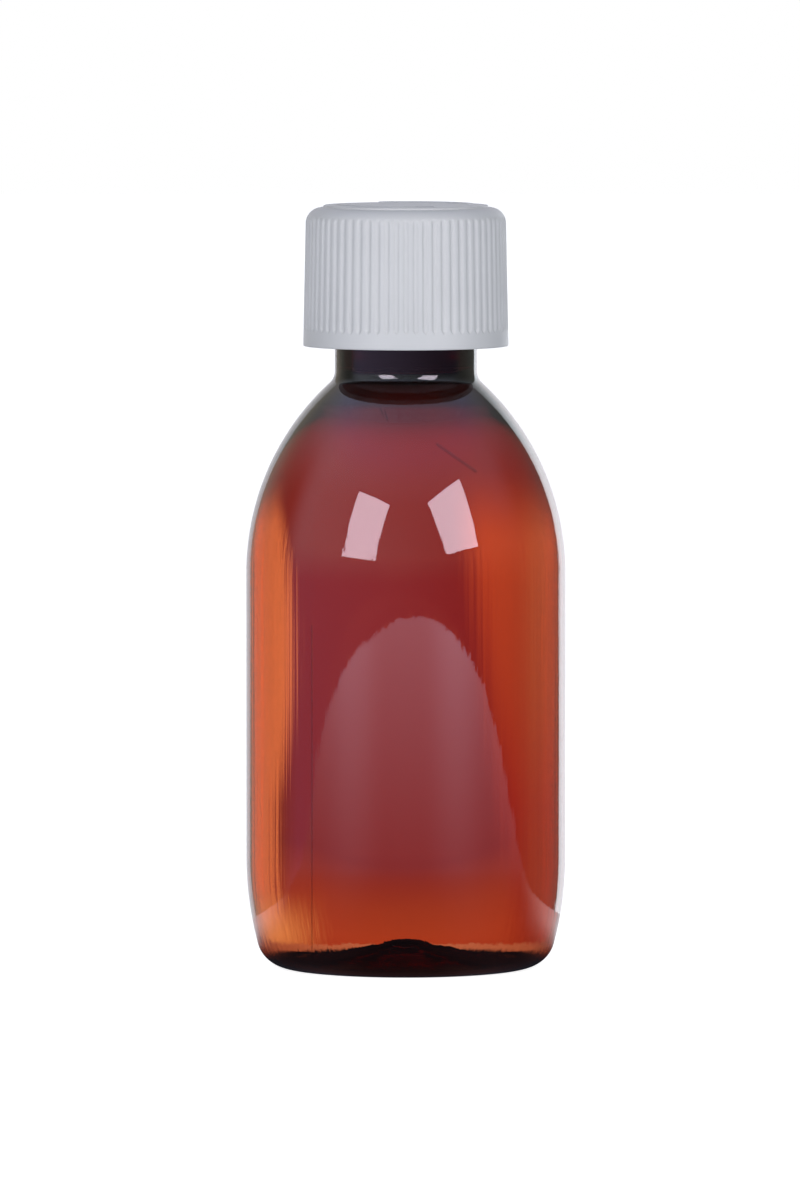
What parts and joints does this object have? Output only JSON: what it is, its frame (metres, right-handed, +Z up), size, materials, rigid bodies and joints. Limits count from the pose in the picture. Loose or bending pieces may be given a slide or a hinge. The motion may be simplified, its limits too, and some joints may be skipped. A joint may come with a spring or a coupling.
{
  "type": "child-resistant medicine bottle",
  "caption": "Round amber PET medicine bottle with a domed shoulder and a white ribbed push-and-turn child-resistant screw closure.",
  "frame": {"origin": "centre of the base on the plane of the standing ring", "axes": "+Z up along the bottle's axis towards the closure"},
  "size_m": [0.06, 0.06, 0.1435],
  "materials": {
    "amber_pet": "gloss",
    "white_band": "satin",
    "foam_wad": "matte",
    "natural_plastic": "satin",
    "spring_plastic": "satin",
    "white_shell": "satin"
  },
  "bodies": {
    "bottle_body": {"bottle": "amber_pet", "tamper_band": "white_band"},
    "liner_body": {"liner": "foam_wad"},
    "inner_cap_body": {"inner_cap": "natural_plastic"},
    "spring_body": {"spring_fingers": "spring_plastic"},
    "shell_body": {"outer_cap": "white_shell"}
  },
  "joints": [
    {"name": "cap_lift", "type": "slide", "parent": "bottle_body", "child": "liner_body", "axis": [0, 0, 1], "range_m": [0, 0.02381]},
    {"name": "cap_turn", "type": "hinge", "parent": "liner_body", "child": "inner_cap_body", "pos_m": [0, 0, 0.13], "axis": [0, 0, 1], "range_deg": [0, 2700]},
    {"name": "ratchet_spin", "type": "hinge", "parent": "inner_cap_body", "child": "spring_body", "pos_m": [0, 0, 0.139], "axis": [0, 0, 1], "continuous": true},
    {"name": "push_down", "type": "slide", "parent": "spring_body", "child": "shell_body", "axis": [0, 0, -1], "range_m": [0, 0.0015], "stiffness_N_per_m": 8000, "springref_m": -0.001, "deforming": ["spring_fingers"]}
  ],
  "couplings": [
    {"joint": "cap_lift", "follows": "cap_turn", "m_per_rad": 0.00050532}
  ]
}
